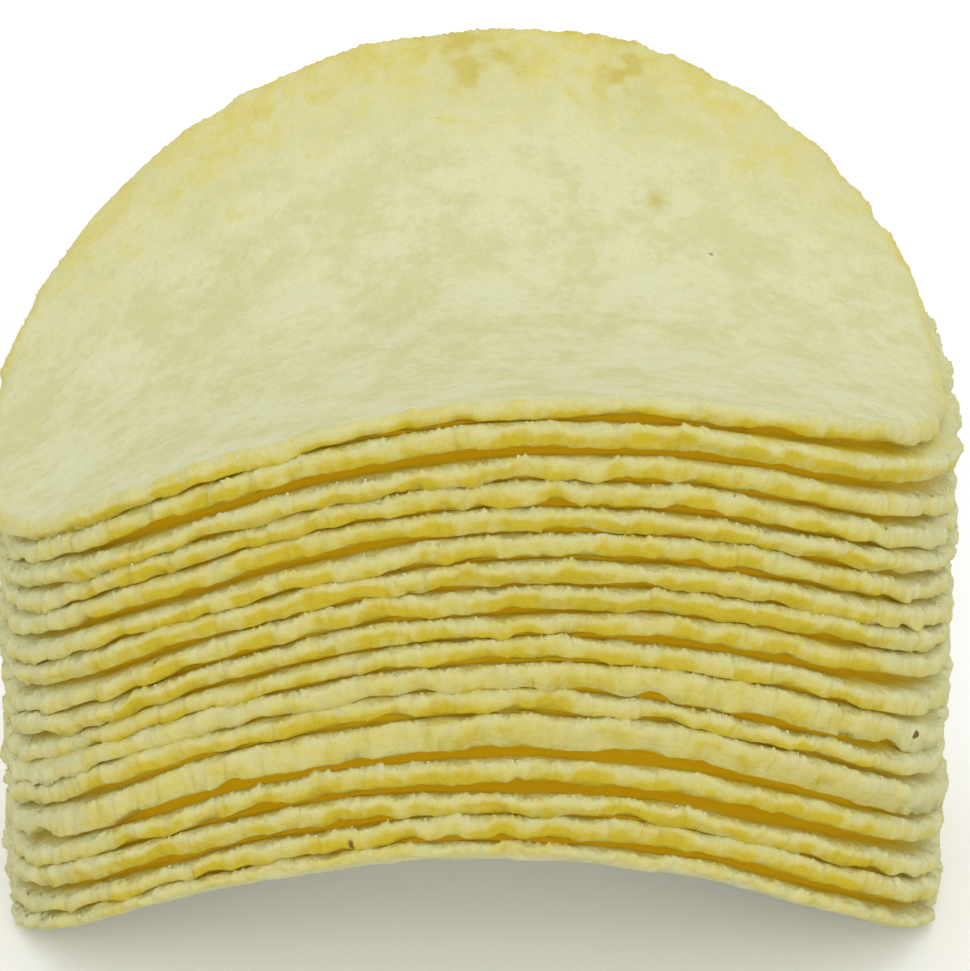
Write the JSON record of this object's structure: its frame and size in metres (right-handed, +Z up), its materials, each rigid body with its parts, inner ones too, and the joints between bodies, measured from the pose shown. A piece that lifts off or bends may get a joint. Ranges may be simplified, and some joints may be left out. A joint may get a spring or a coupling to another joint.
{
  "type": "stack of saddle-shaped potato crisps",
  "caption": "Free-standing upright stack of thin oval saddle-shaped potato crisps, nested one on another and fanned slightly open.",
  "frame": {"origin": "on the surface the stack stands on, below the middle of the whole stack", "axes": "+X along the crisps from left tip to right tip, +Y from the front edge to the back edge, +Z up"},
  "size_m": [0.0666, 0.051, 0.0533],
  "materials": {
    "crisp": "matt fried potato, pale yellow with faint toasted patches and a golden rim"
  },
  "bodies": {
    "root": {"crisp_01": "crisp", "crisp_02": "crisp", "crisp_03": "crisp", "crisp_04": "crisp", "crisp_05": "crisp", "crisp_06": "crisp", "crisp_07": "crisp", "crisp_08": "crisp", "crisp_09": "crisp", "crisp_10": "crisp", "crisp_11": "crisp", "crisp_12": "crisp", "crisp_13": "crisp", "crisp_14": "crisp", "crisp_15": "crisp", "crisp_16": "crisp", "crisp_17": "crisp"}
  },
  "joints": []
}
